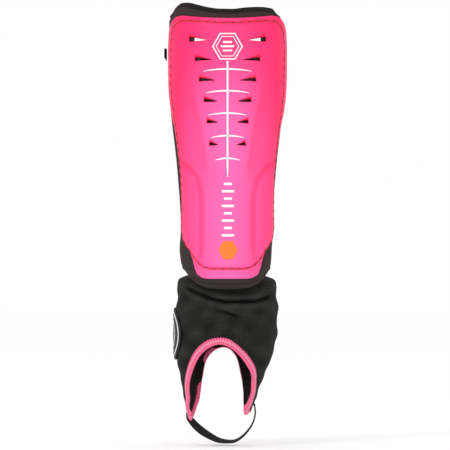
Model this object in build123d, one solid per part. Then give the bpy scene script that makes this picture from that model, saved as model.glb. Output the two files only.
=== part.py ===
from build123d import *
import os

# Field-hockey shin guard with an ankle sock: a moulded front shell sewn to a foam liner,
# a calf strap behind, a knitted ankle sock below with a foot opening and a heel opening,
# and an elastic stirrup that passes under the foot.
#
# Frame, in millimetres: +Z runs up the leg, -Y is the front of the shin, X is across it.
# The origin is on the leg's axis, level with the shell's lower edge.

# ---- driving dimensions -------------------------------------------------------------
SHELL_HEIGHT = 263.0       # from the lower edge to the upper corners
SHELL_DIP = 3.6            # how far the upper edge dips between its corners
SHELL_WALL = 2.5
FOAM_WALL = 8.0
LINING_WALL = 1.0
LAYER_GAP = 0.2            # between layers that lie on each other
SOCK_WALL = 2.0
BINDING_PROUD = 0.6        # the binding stands this much proud of the knit, each side
BINDING_WIDTH = 7.2

STRAP_LOW, STRAP_HIGH = 203.0, 231.0
STRAP_WALL = 1.1
PATCH_WALL = 0.6
PEEL_GAP = 0.3             # between the hook patch and the loop patch
ANCHOR_END_Y = 13.5        # the sewn root of the strap stops here
STRAP_START_Y = 17.0       # the moving strap starts here
PEEL_LINE_Y = 22.0         # the strap's end peels back from here

STIRRUP_WIDTH = 10.0
STIRRUP_WALL = 1.6

STITCH_COUNT = 78
STITCH_LENGTH = 4.6
STITCH_RADIUS = 0.4

FAR = 160.0                # beyond everything, for cutting prisms

# Depths below the shell's outer face
FOAM_OUT = SHELL_WALL + LAYER_GAP
FOAM_IN = FOAM_OUT + FOAM_WALL
LINING_OUT = FOAM_IN + 0.1
LINING_IN = LINING_OUT + LINING_WALL

# The shin: height, half width and half depth of the shell's outer face, at even steps
SHIN = [
    (-30.0, 46.8, 52.6),
    (0.0, 48.6, 53.0),
    (30.0, 49.9, 53.4),
    (60.0, 50.7, 54.2),
    (90.0, 51.7, 55.4),
    (120.0, 53.8, 56.8),
    (150.0, 57.4, 57.8),
    (180.0, 60.6, 58.3),
    (210.0, 61.3, 58.4),
    (240.0, 61.2, 58.1),
    (270.0, 61.0, 57.7),
    (300.0, 60.6, 57.2),
]

# The ankle: height, sideways offset, half width and half depth of the knit's outer face
ANKLE = [
    (20.0, -1.0, 41.0, 41.0),
    (0.0, -0.8, 47.5, 44.2),
    (-20.0, -0.4, 50.6, 45.9),
    (-40.0, -0.8, 51.2, 46.0),
    (-60.0, -1.5, 50.8, 44.8),
    (-80.0, -3.4, 48.0, 42.0),
    (-100.0, -5.6, 41.6, 37.4),
    (-120.0, -7.8, 36.4, 32.0),
    (-140.0, -8.8, 30.4, 26.6),
    (-160.0, -9.2, 24.0, 21.0),
]

# Louvres: height of the slot, its outer and inner end, and its height at the outer end
LOUVRES = [
    (238.6, 37.5, 21.0, 3.8),
    (218.8, 31.7, 16.0, 2.8),
    (198.6, 27.5, 12.5, 2.8),
    (177.5, 22.7, 10.3, 2.7),
    (156.4, 19.8, 9.6, 2.6),
    (134.2, 17.3, 9.4, 2.6),
]
OPEN_ROWS = 2              # the liner is cut through behind this many upper rows

LEFT, RIGHT = -1, 1


# ---- shared shapes ------------------------------------------------------------------
def oval(half_width, half_depth):
    """An ellipse whose seam is at the rear whichever way it is longer."""
    edge = EllipticalCenterArc((0, 0), half_width, half_depth, start_angle=90, arc_size=360)
    return make_face(edge)


def stacked(sections, grow):
    """A solid through elliptical sections, each (height, sideways offset, half width, half depth)."""
    rings = []
    for height, across, half_width, half_depth in sections:
        rings.append(Pos(across, 0, height) * oval(half_width + grow, half_depth + grow))
    return loft(rings)


def shin_body(depth):
    """The shin's outer shape, shrunk by a depth below the shell's outer face."""
    return stacked([(z, 0.0, a, b) for z, a, b in SHIN], -depth)


def shin_layer(outer, inner):
    return shin_body(outer) - shin_body(inner)


def ankle_layer(outer, inner):
    return stacked(ANKLE, -outer) - stacked(ANKLE, -inner)


def front_prism(face, y_from, y_to):
    """A face drawn as seen from the front, (x, z), carried from y_from to y_to."""
    return extrude(Plane.XZ.offset(-y_to) * face, amount=y_to - y_from)


def side_prism(face, x_from, x_to):
    """A face drawn as seen from the right side, (y, z), carried from x_from to x_to."""
    return extrude(Plane.YZ.offset(x_from) * face, amount=x_to - x_from)


def block(x0, x1, y0, y1, z0, z1):
    centre = ((x0 + x1) / 2, (y0 + y1) / 2, (z0 + z1) / 2)
    return Pos(*centre) * Box(x1 - x0, y1 - y0, z1 - z0)


def face_of(*edges):
    return make_face(Curve() + list(edges))


def flipped(points):
    """The same points on the other side of x = 0, in the opposite order."""
    return [(-x, z) for x, z in reversed(points)]


# ---- front shell --------------------------------------------------------------------
SHELL_FOOT = [
    (20.0, 0.0),
    (28.0, 2.2),
    (33.2, 9.0),
    (35.2, 16.5),
    (37.6, 24.0),
    (41.4, 31.5),
    (46.5, 39.0),
    (54.0, 47.0),
    (64.0, 54.0),
    (75.0, 60.0),
]
SHELL_REAR = [
    (-24.5, 30.0),
    (-21.6, 41.0),
    (-19.8, 52.0),
    (-20.2, 68.0),
    (-21.8, 106.0),
    (-21.6, 130.0),
    (-21.0, 148.0),
    (-16.0, 168.0),
    (-12.6, 186.0),
    (-11.5, 212.0),
    (-11.5, 238.0),
    (-13.4, 248.0),
    (-18.0, 255.6),
    (-25.5, 260.6),
    (-35.0, SHELL_HEIGHT),
]


def shell_front_cut():
    """The shell's lower corners and upper edge, which are cut from the front."""
    wide, high = SHELL_FOOT[-1]
    dip = SHELL_HEIGHT - SHELL_DIP
    right = Line((wide, high), (wide, SHELL_HEIGHT))
    left = Line((-wide, SHELL_HEIGHT), (-wide, high))
    shoulder = (46, SHELL_HEIGHT - 0.6)
    top = Spline(
        (wide, SHELL_HEIGHT),
        shoulder,
        (25, dip + 0.9),
        (0, dip),
        (-25, dip + 0.9),
        flipped([shoulder])[0],
        (-wide, SHELL_HEIGHT),
    )
    bottom = Line((-SHELL_FOOT[0][0], 0), (SHELL_FOOT[0][0], 0))
    face = face_of(Spline(*SHELL_FOOT), right, top, left, Spline(*flipped(SHELL_FOOT)), bottom)
    return front_prism(face, -FAR, 0)


def shell_side_cut():
    """The shell's long side edges and upper corners, which are cut from the side."""
    first, last = SHELL_REAR[0], SHELL_REAR[-1]
    rest = Polyline(last, (-FAR, last[1]), (-FAR, -10), (first[0], -10), first)
    return side_prism(face_of(Spline(*SHELL_REAR), rest), -FAR, FAR)


def louvre_face(row, side, shrink=0.0):
    """A wedge-shaped slot: full height at its outer end, closing to a narrow inner end."""
    height, outer, inner, opening = row
    outer -= shrink
    opening -= shrink * 0.4
    tip = 0.35
    drop = 0.9             # the inner end hangs a little lower than the slot's middle
    corners = [
        (side * outer, height - opening / 2),
        (side * inner, height - drop - tip),
        (side * inner, height - drop + tip),
        (side * (outer - 0.6), height + opening / 2),
        (side * outer, height + opening / 2 - 0.6),
    ]
    return face_of(Polyline(*corners, close=True))


def louvre_prisms(rows, shrink=0.0):
    return [
        front_prism(louvre_face(row, side, shrink), -FAR, 0)
        for row in rows
        for side in (LEFT, RIGHT)
    ]


def make_shell():
    wall = shin_layer(0, SHELL_WALL) & shell_side_cut() & shell_front_cut()
    return wall - louvre_prisms(LOUVRES)


STITCH_SIDE = [
    (0.0, 10.0),
    (20.0, 10.3),
    (27.0, 13.4),
    (31.4, 17.8),
    (36.0, 24.6),
    (41.0, 32.0),
    (44.4, 38.0),
    (46.0, 46.0),
    (46.2, 68.0),
    (47.4, 106.0),
    (49.4, 128.0),
    (51.4, 148.0),
    (54.6, 168.0),
    (56.4, 186.0),
    (57.0, 212.0),
    (56.6, 240.0),
    (54.4, 251.5),
    (49.0, 256.8),
    (42.0, 257.4),
    (22.0, 255.6),
    (0.0, 254.8),
]


def make_shell_stitches():
    """Short runs of thread lying on the shell, a few millimetres inside its edge."""
    outer_face = shin_body(0)
    path = Wire([Spline(*STITCH_SIDE), Spline(*flipped(STITCH_SIDE))])
    half_share = STITCH_LENGTH / path.length / 2
    stitches = []
    for number in range(STITCH_COUNT):
        share = (number + 0.5) / STITCH_COUNT
        ends = []
        for step in (-half_share, half_share):
            spot = path.position_at((share + step) % 1.0)
            line = Axis((spot.X, -FAR, spot.Y), (0, 1, 0))
            hit = outer_face.find_intersection_points(line)[0]
            point, normal = hit
            outward = normal if normal.Y < 0 else -normal
            ends.append(point + outward * (STITCH_RADIUS + 0.08))
        along = ends[1] - ends[0]
        frame = Plane(origin=ends[0] + along * 0.5, z_dir=along)
        stitches.append(frame * Cylinder(STITCH_RADIUS, along.length))
    return Compound(children=stitches)


# ---- foam liner and lining ----------------------------------------------------------
def liner_outline(inset):
    """The liner seen from the front: taller than the shell, with a rounded tongue below it."""
    wide = 70.0
    top = Spline(
        (wide, 268.0 - inset),
        (46.0, 272.6 - inset),
        (0, 269.0 - inset),
        (-46.0, 272.6 - inset),
        (-wide, 268.0 - inset),
    )
    low = -10.6 + inset
    bottom = Spline(
        (-wide, 34.0 + inset),
        (-46.0, 5.0 + inset),
        (-33.0, -6.4 + inset),
        (0, low),
        (33.0, -6.4 + inset),
        (46.0, 5.0 + inset),
        (wide, 34.0 + inset),
    )
    right = Line((wide, 34.0 + inset), (wide, 268.0 - inset))
    left = Line((-wide, 268.0 - inset), (-wide, 34.0 + inset))
    return face_of(top, left, bottom, right)


def liner_side(inset):
    """The liner seen from the side: its wings reach back further at the calf than at the ankle."""
    back = Spline(
        (-10.5 - inset, -30.0),
        (-7.0 - inset, 60.0),
        (3.0 - inset, 140.0),
        (13.5 - inset, 205.0),
        (13.5 - inset, 250.0),
        (4.0 - inset, 290.0),
    )
    return face_of(
        back,
        Line((4.0 - inset, 290.0), (-FAR, 290.0)),
        Line((-FAR, 290.0), (-FAR, -30.0)),
        Line((-FAR, -30.0), (-10.5 - inset, -30.0)),
    )


def make_foam_liner():
    wall = shin_layer(FOAM_OUT, FOAM_IN)
    wall &= front_prism(liner_outline(0), -FAR, FAR)
    wall &= side_prism(liner_side(0), -FAR, FAR)
    return wall - louvre_prisms(LOUVRES[:OPEN_ROWS], shrink=1.6)


def make_lining():
    inset = 3.0
    wall = shin_layer(LINING_OUT, LINING_IN)
    wall &= front_prism(liner_outline(inset), -FAR, FAR)
    wall &= side_prism(liner_side(inset), -FAR, FAR)
    return wall - louvre_prisms(LOUVRES[:OPEN_ROWS], shrink=1.0)


# ---- calf strap ---------------------------------------------------------------------
STRAP_HALF_WIDTH, STRAP_HALF_DEPTH = 61.2, 58.2
ANCHOR_DEPTH = FOAM_OUT - 0.05
LOOP_OUT = FOAM_OUT - 0.05 - PATCH_WALL
HOOK_IN = LOOP_OUT - PEEL_GAP
HOOK_OUT = HOOK_IN - PATCH_WALL
STRAP_IN = HOOK_OUT - 0.05
# On the left the strap lies on both patches, and on the right only on the liner.
STRAP_SHIFT = -(ANCHOR_DEPTH - STRAP_IN) / 2
STRAP_RING_IN = (ANCHOR_DEPTH + STRAP_IN) / 2
TAB_TIP = (-65.0, -1.5)


def ring_wall(outer, inner, low, high, shift=0.0):
    """A level elliptical band round the calf."""
    rings = []
    for depth in (outer, inner):
        level = Pos(shift, 0, low) * oval(STRAP_HALF_WIDTH - depth, STRAP_HALF_DEPTH - depth)
        rings.append(extrude(level, amount=high - low))
    return rings[0] - rings[1]


def strap_band():
    outer = STRAP_RING_IN - STRAP_WALL
    return ring_wall(outer, STRAP_RING_IN, STRAP_LOW, STRAP_HIGH, STRAP_SHIFT)


def make_strap_anchor():
    """The sewn root of the strap, on the liner's right wing."""
    layer = shin_layer(ANCHOR_DEPTH - STRAP_WALL, ANCHOR_DEPTH)
    return layer & block(0, FAR, -7.5, ANCHOR_END_Y, STRAP_LOW, STRAP_HIGH)


def make_anchor_stitches():
    """A sewn box and cross, as short threads lying on the strap's root."""
    layer = shin_layer(ANCHOR_DEPTH - STRAP_WALL - 0.6, ANCHOR_DEPTH - STRAP_WALL - 0.1)
    low, high, front, rear, width = 206.5, 227.5, -4.5, 10.5, 0.8
    bars = [
        block(0, FAR, front, rear, low, low + width),
        block(0, FAR, front, rear, high - width, high),
        block(0, FAR, front, front + width, low + 1.5, high - 1.5),
        block(0, FAR, rear - width, rear, low + 1.5, high - 1.5),
    ]
    return Compound(children=[layer & bar for bar in bars])


def make_loop_patch():
    layer = shin_layer(LOOP_OUT, FOAM_OUT - 0.05)
    return layer & block(-FAR, 0, -9.0, 12.5, STRAP_LOW + 1.5, STRAP_HIGH - 1.5)


def make_calf_strap():
    band = strap_band()
    rear = band & block(-FAR, FAR, PEEL_LINE_Y + 0.4, FAR, STRAP_LOW, STRAP_HIGH)
    right = band & block(0, FAR, STRAP_START_Y, PEEL_LINE_Y + 0.4, STRAP_LOW, STRAP_HIGH)
    return rear + right


def make_strap_end():
    return strap_band() & block(-FAR, 0, -9.0, PEEL_LINE_Y, STRAP_LOW, STRAP_HIGH)


def make_strap_end_stitches():
    """Two rows of thread across the strap's end, below the pull tab."""
    outer = STRAP_RING_IN - STRAP_WALL - 0.1
    rows = []
    for low in (206.0, 212.5):
        ring = ring_wall(outer - 0.5, outer, low, low + 0.8, STRAP_SHIFT)
        rows.append(ring & block(-FAR, 0, -7.0, 10.0, STRAP_LOW, STRAP_HIGH))
    return Compound(children=rows)


def make_hook_patch():
    layer = ring_wall(HOOK_OUT, HOOK_IN, STRAP_LOW + 2, STRAP_HIGH - 2)
    return layer & block(-FAR, 0, -8.0, 11.5, STRAP_LOW, STRAP_HIGH)


def make_pull_tab():
    """A tapered tab that stands off the strap's end, for a finger to catch."""
    outer_x = -(STRAP_HALF_WIDTH - STRAP_RING_IN + STRAP_WALL) + STRAP_SHIFT - 0.1
    root_rear = 9.0
    tip_x, tip_y = TAB_TIP
    plan = face_of(
        Polyline(
            (outer_x + 0.25, root_rear),
            (outer_x + 0.25, 2.6),
            (tip_x + 0.6, tip_y - 1.1),
            (tip_x, tip_y),
            (outer_x - 0.9, 4.4),
            (outer_x - 0.9, root_rear),
            close=True,
        )
    )
    upright = extrude(Pos(0, 0, STRAP_LOW) * plan, amount=STRAP_HIGH - STRAP_LOW)
    profile = face_of(
        Polyline(
            (root_rear, 216.0),
            (root_rear, 230.0),
            (tip_y - 2, 230.4),
            (tip_y - 2, 220.4),
            close=True,
        )
    )
    tab = upright & side_prism(profile, -FAR, 0)
    return tab - ring_wall(-4.0, STRAP_RING_IN, STRAP_LOW, STRAP_HIGH, STRAP_SHIFT + 4.0)


# ---- ankle sock ---------------------------------------------------------------------
def sock_top():
    """What lies above the sock's sloping upper edge, low in front and high at the heel."""
    slope = 0.31
    middle = -8.0
    face = face_of(
        Polyline(
            (-FAR, middle - slope * FAR),
            (FAR, middle + slope * FAR),
            (FAR, FAR),
            (-FAR, FAR),
            close=True,
        )
    )
    return side_prism(face, -FAR, FAR)


def leg_side():
    """The sock's side legs seen from the side, narrowing to the tips that hold the stirrup."""
    curve = Spline(
        (34, -106),
        (29, -119),
        (18, -131),
        (6, -139),
        (0, -141),
        (-6, -138),
        (-12, -130),
        (-19, -118),
        (-26, -107),
    )
    above = Polyline((-26, -107), (-60, -75), (-60, 30), (60, 30), (60, -75), (34, -106))
    return side_prism(face_of(curve, above), -FAR, FAR)


FOOT_ARCH = [
    (-37.5, -124),
    (-40.2, -106),
    (-37, -88),
    (-29.5, -73.5),
    (-18.5, -64.5),
    (-8, -61.8),
    (3, -64.5),
    (14.5, -73.5),
    (23.5, -87),
    (27.0, -104),
    (24.0, -124),
]
HEEL_ARCH = [
    (-30, -124),
    (-28.0, -108),
    (-26.0, -92),
    (-20.5, -77),
    (-12.5, -69.5),
    (-4.5, -67.5),
    (3.5, -69.5),
    (10.5, -77),
    (15.5, -92),
    (17.5, -108),
    (17.0, -124),
]


def arch_face(points, grow):
    """An opening's arch, moved outward by grow and closed well below the sock's tips."""
    line = Spline(*points)
    moved = []
    for number in range(len(points)):
        share = number / (len(points) - 1)
        spot, along = line @ share, line % share
        moved.append((spot.X - along.Y * grow, spot.Y + along.X * grow))
    first, last = moved[0], moved[-1]
    sides = Polyline(last, (last[0], -FAR), (first[0], -FAR), first)
    return face_of(Spline(*moved), sides)


def panel(arch, y_from, y_to):
    """One half of the knit, down to the edge of its opening's binding."""
    cutter = leg_side() & block(-FAR, FAR, y_from, y_to, -FAR, FAR)
    cutter -= sock_top()
    cutter -= front_prism(arch_face(arch, BINDING_WIDTH / 2), y_from, y_to)
    return (stacked(ANKLE, 0) & cutter) - stacked(ANKLE, -SOCK_WALL)


def binding(arch, y_from, y_to):
    """The bound edge of an opening, a little proud of the knit on both faces."""
    half = BINDING_WIDTH / 2
    cutter = front_prism(arch_face(arch, half), y_from, y_to)
    cutter -= front_prism(arch_face(arch, -half), y_from, y_to)
    cutter &= leg_side()
    return (stacked(ANKLE, BINDING_PROUD) & cutter) - stacked(ANKLE, -SOCK_WALL - BINDING_PROUD)


def make_sock_gather():
    """The gathered knit between the liner's tongue and the sock, which bends as the ankle flexes."""
    sections = [
        (10.0, -0.4, 34.6, 38.8),
        (-11.6, -0.4, 34.6, 38.8),
        (-13.4, -0.4, 47.0, 43.0),
        (-24.0, -0.4, 49.6, 45.2),
    ]
    levels = list(zip(sections, sections[1:]))
    outer = [stacked(list(pair), 0) for pair in levels]
    inner = [stacked(list(pair), -SOCK_WALL) for pair in levels]
    ring = (outer[0] + outer[1] + outer[2]) - (inner[0] + inner[1] + inner[2])
    return (ring & sock_top()) & block(-FAR, FAR, -FAR, -0.5, -FAR, FAR)


ANKLE_BONE = (4.0, -56.0)      # the ankle discs' centre, (y, z)
DISC_RADIUS = 26.5
PAD_RADIUS = 22.0


def disc_prism(radius, side):
    y, z = ANKLE_BONE
    along = Plane(origin=(0, y, z), z_dir=(side, 0, 0))
    return along * Pos(0, 0, FAR / 2) * Cylinder(radius, FAR)


def make_disc_cover():
    return ankle_layer(-2.6, -0.1) & disc_prism(DISC_RADIUS, LEFT)


def make_disc_ring(radius, width):
    ring = disc_prism(radius, LEFT) - disc_prism(radius - width, LEFT)
    return ankle_layer(-2.95, -2.65) & ring


def make_ankle_pad(side):
    return ankle_layer(SOCK_WALL + 0.1, SOCK_WALL + 5.1) & disc_prism(PAD_RADIUS, side)


# ---- stirrup ------------------------------------------------------------------------
STIRRUP_LINE = [
    (-45.0, -126.0),
    (-44.6, -134.0),
    (-39.8, -144.5),
    (-29.5, -154.8),
    (-15.0, -162.8),
    (-1.0, -166.0),
    (12.5, -162.4),
    (23.0, -152.6),
    (27.6, -141.0),
    (28.6, -132.0),
    (29.1, -125.0),
]


def make_stirrup():
    """An elastic band that hangs in a loop between the sock's two tips."""
    line = Spline(*STIRRUP_LINE)
    band = trace(line, STIRRUP_WALL)
    return front_prism(band, -STIRRUP_WIDTH / 2, STIRRUP_WIDTH / 2)


def make_stirrup_tacks():
    """Two sewn bars across each upper end of the band."""
    left = STIRRUP_LINE[0][0] - STIRRUP_WALL / 2 - 0.8
    right = STIRRUP_LINE[-1][0] + STIRRUP_WALL / 2 + 0.2
    bars = []
    for x, low in ((left, -129.4), (left, -132.0), (right, -128.6), (right, -131.2)):
        bars.append(block(x, x + 0.6, -3.8, 3.8, low, low + 0.8))
    return Compound(children=bars)


# ---- write every piece --------------------------------------------------------------
def main():
    pieces = {
        "front_shell": make_shell(),
        "shell_stitches": make_shell_stitches(),
        "foam_liner": make_foam_liner(),
        "inner_lining": make_lining(),
        "strap_anchor": make_strap_anchor(),
        "anchor_stitches": make_anchor_stitches(),
        "loop_patch": make_loop_patch(),
        "calf_strap": make_calf_strap(),
        "strap_end": make_strap_end(),
        "hook_patch": make_hook_patch(),
        "pull_tab": make_pull_tab(),
        "strap_end_stitches": make_strap_end_stitches(),
        "sock_gather": make_sock_gather(),
        "sock_front_panel": panel(FOOT_ARCH, -FAR, -0.05),
        "sock_rear_panel": panel(HEEL_ARCH, 0.05, FAR),
        "foot_opening_binding": binding(FOOT_ARCH, -FAR, -0.05),
        "heel_opening_binding": binding(HEEL_ARCH, 0.05, FAR),
        "ankle_disc_cover": make_disc_cover(),
        "ankle_disc_outer_ring": make_disc_ring(24.6, 1.6),
        "ankle_disc_inner_ring": make_disc_ring(16.0, 1.2),
        "left_ankle_pad": make_ankle_pad(LEFT),
        "right_ankle_pad": make_ankle_pad(RIGHT),
        "stirrup_band": make_stirrup(),
        "stirrup_tacks": make_stirrup_tacks(),
    }
    os.makedirs("parts", exist_ok=True)
    for name, shape in pieces.items():
        export_step(shape, f"parts/{name}.step")


main()
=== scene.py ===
import math

import bpy
import numpy as np
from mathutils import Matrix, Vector


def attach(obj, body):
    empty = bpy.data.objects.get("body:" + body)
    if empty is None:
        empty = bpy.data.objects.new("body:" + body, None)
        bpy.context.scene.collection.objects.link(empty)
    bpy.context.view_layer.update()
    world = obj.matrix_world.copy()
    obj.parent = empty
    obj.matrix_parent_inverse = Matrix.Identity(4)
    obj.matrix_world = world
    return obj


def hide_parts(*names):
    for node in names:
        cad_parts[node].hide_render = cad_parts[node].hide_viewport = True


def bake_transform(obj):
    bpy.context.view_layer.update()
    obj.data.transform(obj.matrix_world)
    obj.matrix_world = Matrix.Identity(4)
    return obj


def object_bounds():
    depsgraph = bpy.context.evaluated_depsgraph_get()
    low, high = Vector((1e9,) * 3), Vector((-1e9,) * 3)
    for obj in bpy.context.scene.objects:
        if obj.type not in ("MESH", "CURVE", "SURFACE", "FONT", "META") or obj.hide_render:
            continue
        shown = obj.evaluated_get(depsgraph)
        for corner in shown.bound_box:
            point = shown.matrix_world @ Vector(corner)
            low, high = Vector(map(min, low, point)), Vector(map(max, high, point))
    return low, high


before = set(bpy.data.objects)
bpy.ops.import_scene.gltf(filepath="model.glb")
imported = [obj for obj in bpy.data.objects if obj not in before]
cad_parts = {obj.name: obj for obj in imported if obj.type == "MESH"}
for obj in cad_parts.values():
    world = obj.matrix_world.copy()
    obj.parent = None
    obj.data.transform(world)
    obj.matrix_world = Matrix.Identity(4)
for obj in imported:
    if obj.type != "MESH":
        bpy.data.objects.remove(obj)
cad_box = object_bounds()
scene = bpy.context.scene

# Everything below is worked out in millimetres in the part's frame, and scaled once, in add_mesh.
# "angle" is measured round the leg from the front (-Y), positive towards +X.
MM = 0.001
SHELL_TOP, SHELL_THICK = 262.6, 2.5
STITCHES = 78
# how far in front of the leg's axis the louvre cutters start and stop
CUT_FRONT, CUT_REAR = -75, -28
SOCK_LOW = -145.0
ARCH_POINTS = 60
RIB_PITCH, ZIGZAG_STEP = 2.4, 1.2
SWELL_PRESSURE, SWELL_FRAMES = 60.0, 20

# ---- the shapes the pieces lie on ---------------------------------------------------
# height, half width and half depth of the shell's outer face
SHIN = np.array([
    (-30, 46.8, 52.6), (0, 48.6, 53.0), (30, 49.9, 53.4), (60, 50.7, 54.2), (90, 51.7, 55.4),
    (120, 53.8, 56.8), (150, 57.4, 57.8), (180, 60.6, 58.3), (210, 61.3, 58.4), (240, 61.2, 58.1),
    (270, 61.0, 57.7), (300, 60.6, 57.2),
])
# height, sideways offset, half width and half depth of the ankle's knit
ANKLE = np.array([
    (-160, -9.2, 24.0, 21.0), (-140, -8.8, 30.4, 26.6), (-120, -7.8, 36.4, 32.0),
    (-100, -5.6, 41.6, 37.4), (-80, -3.4, 48.0, 42.0), (-60, -1.5, 50.8, 44.8), (-40, -0.8, 51.2, 46.0),
    (-20, -0.4, 50.6, 45.9), (0, -0.8, 47.5, 44.2), (20, -1.0, 41.0, 41.0),
])
# height and half width of the shell's edge
SHELL_EDGE = np.array([
    (0, 20.0), (0.6, 24.0), (2.2, 28.0), (9, 33.2), (16.5, 35.2), (24, 37.6), (31.5, 41.4),
    (38.8, 45.4), (48, 47.1), (70, 47.3), (106, 48.6), (128, 50.8), (148, 53.0), (168, 57.2),
    (186, 59.4), (212, 60.1), (240, 59.8), (250, 58.9), (256, 57.2), (260, 54.0), (262, 50.0),
    (262.6, 45.5),
])
# the sewing line down one side of the shell: half width and height
STITCH_SIDE = [
    (0, 10), (9, 10), (19, 10.5), (27, 13.4), (31.4, 17.8), (36, 24.6), (41, 32), (44.4, 38), (46, 46),
    (46.2, 68), (47.4, 106), (49.4, 128), (51.4, 148), (54.6, 168), (56.4, 186), (57, 212), (56.6, 240),
    (54.4, 251.5), (49, 256.8), (42, 257.4), (22, 255.6), (9, 254.9), (0, 254.8),
]
# louvres: height of the slot, its outer and inner end, and its height at the outer end
LOUVRES = [
    (238.6, 37.9, 21.0, 4.9), (218.8, 32.1, 15.6, 3.8), (198.3, 28.0, 12.4, 3.6),
    (177.5, 23.2, 10.1, 3.4), (156.4, 20.3, 9.5, 3.2), (134.2, 17.8, 9.3, 3.1),
]
# the bound edge of each foot opening, as seen from the front
FOOT_EDGE = [
    (-38.2, -138), (-40.4, -130), (-41.2, -121), (-41, -106), (-37, -88), (-29, -73), (-18, -64.6),
    (-8, -61.9), (3, -64.8), (14.5, -74), (23.6, -87), (27.6, -100), (26.8, -112), (23.8, -123),
    (19.4, -131.5),
]
HEEL_EDGE = [
    (-36.2, -138.5), (-33.4, -130), (-30.6, -119), (-29, -106), (-27.4, -94), (-23.2, -80.5),
    (-14.5, -70.8), (-4.5, -67.6), (3.5, -69.6), (10.5, -77), (15.4, -92), (17.8, -106), (18.6, -116),
    (18.8, -124), (18.6, -131),
]


def soft(value, low, high):
    """0 below low, 1 above high, and a smooth step between."""
    t = np.clip((value - low) / (high - low), 0, 1)
    return t * t * (3 - 2 * t)


def bump_at(value, centre, width):
    return np.exp(-(((value - centre) / width) ** 2))


def column(rows, number, at):
    """One column of a table, on a smooth curve through its rows."""
    keys, values = rows[:, 0], rows[:, number]
    slopes = np.gradient(values, keys)
    at = np.clip(at, keys[0], keys[-1])
    i = np.clip(np.searchsorted(keys, at) - 1, 0, len(keys) - 2)
    step = keys[i + 1] - keys[i]
    t = (at - keys[i]) / step
    near = (2 * t**3 - 3 * t**2 + 1) * values[i] + (t**3 - 2 * t**2 + t) * step * slopes[i]
    far = (3 * t**2 - 2 * t**3) * values[i + 1] + (t**3 - t**2) * step * slopes[i + 1]
    return near + far


def steps_along(points):
    """Distance along a line of points, from its first one."""
    return np.concatenate([[0], np.cumsum(np.linalg.norm(np.diff(points, axis=0), axis=1))])


def resample(at, keys, rows):
    """Rows of numbers read off at other places along their keys."""
    return np.stack([np.interp(at, keys, rows[:, n]) for n in range(rows.shape[1])], -1)


def smooth_line(points, count):
    """Evenly spaced points on a smooth curve through a few points."""
    points = np.array(points, float)
    run = steps_along(points)
    rows = np.column_stack([run, points])
    fine = np.linspace(0, run[-1], count * 4)
    dense = np.column_stack([column(rows, n + 1, fine) for n in range(points.shape[1])])
    length = steps_along(dense)
    return resample(np.linspace(0, length[-1], count), length, dense)


def rounded(distance, radius, least=0):
    """0 to 1 on a quarter circle, over a radius in from an edge."""
    return np.sqrt(np.clip(1 - (1 - np.clip(distance / radius, 0, 1)) ** 2, least, 1))


def pairs(first, second):
    return np.meshgrid(first, second, indexing="ij")


def unit(vectors):
    return vectors / np.maximum(np.linalg.norm(vectors, axis=-1, keepdims=True), 1e-9)


def round_shin(angle, z, depth):
    """Points on the shin, a depth below the shell's outer face."""
    a, b = column(SHIN, 1, z) - depth, column(SHIN, 2, z) - depth
    return np.stack([a * np.sin(angle), -b * np.cos(angle), z + 0 * angle], -1)


def front_shin(x, z, depth):
    """The same, placed by x as seen from the front."""
    angle = np.arcsin(np.clip(x / column(SHIN, 1, z), -1, 1))
    return round_shin(angle, z, depth)


def ankle_point(x, z, side, proud):
    """Points on the ankle's knit, placed by x as seen from the front. side is -1 in front, 1 behind."""
    centre, a, b = (column(ANKLE, n, z) for n in (1, 2, 3))
    ratio = np.clip((x - centre) / a, -1, 1)
    y = side * b * np.sqrt(1 - ratio**2)
    normal = unit(np.stack([ratio / a, y / b**2, 0 * z], -1))
    return np.stack([centre + a * ratio, y, z], -1) + normal * proud, normal


# ---- mesh helpers -------------------------------------------------------------------
def add_mesh(name, points, faces, material, uv=None):
    """A smooth-shaded mesh object. points are in millimetres, and so is uv, one pair for each point."""
    mesh = bpy.data.meshes.new(name)
    mesh.from_pydata((np.asarray(points) * MM).tolist(), [], faces)
    mesh.validate()
    if uv is not None:
        layer = mesh.uv_layers.new(name="run")
        index = np.zeros(len(mesh.loops), int)
        mesh.loops.foreach_get("vertex_index", index)
        layer.data.foreach_set("uv", np.asarray(uv)[index].ravel())
    mesh.polygons.foreach_set("use_smooth", [True] * len(mesh.polygons))
    mesh.materials.append(material)
    piece = bpy.data.objects.new(name, mesh)
    scene.collection.objects.link(piece)
    return piece


def grid_faces(rows, columns, start=0, closed=False, flip=False):
    faces = []
    for r in range(rows - 1):
        for c in range(columns if closed else columns - 1):
            d = (c + 1) % columns
            face = [start + r * columns + c, start + r * columns + d,
                    start + (r + 1) * columns + d, start + (r + 1) * columns + c]
            faces.append(face[::-1] if flip else face)
    return faces


def grid_run(points):
    """Distances along a grid's columns and rows, for a weave's coordinates."""
    across = np.cumsum(np.linalg.norm(np.diff(points, axis=1, prepend=points[:, :1]), axis=2), axis=1)
    across -= across[:, -1:] / 2
    down = np.cumsum(np.linalg.norm(np.diff(points, axis=0, prepend=points[:1]), axis=2), axis=0)
    middle = down[:, down.shape[1] // 2]
    return np.stack([across, np.repeat(middle[:, None], points.shape[1], 1)], -1)


def wrap_run(piece, girth):
    """Keeps a weave whole where a closed piece's last column meets its first."""
    layer = piece.data.uv_layers["run"]
    run = np.zeros(len(piece.data.loops) * 2)
    layer.data.foreach_get("uv", run)
    run = run.reshape(-1, 4, 2)
    u = run[..., 0]
    wide = (u.max(1) - u.min(1) > girth / 2)[:, None] & (u < 0)
    u[wide] += girth
    layer.data.foreach_set("uv", run.ravel())


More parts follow.
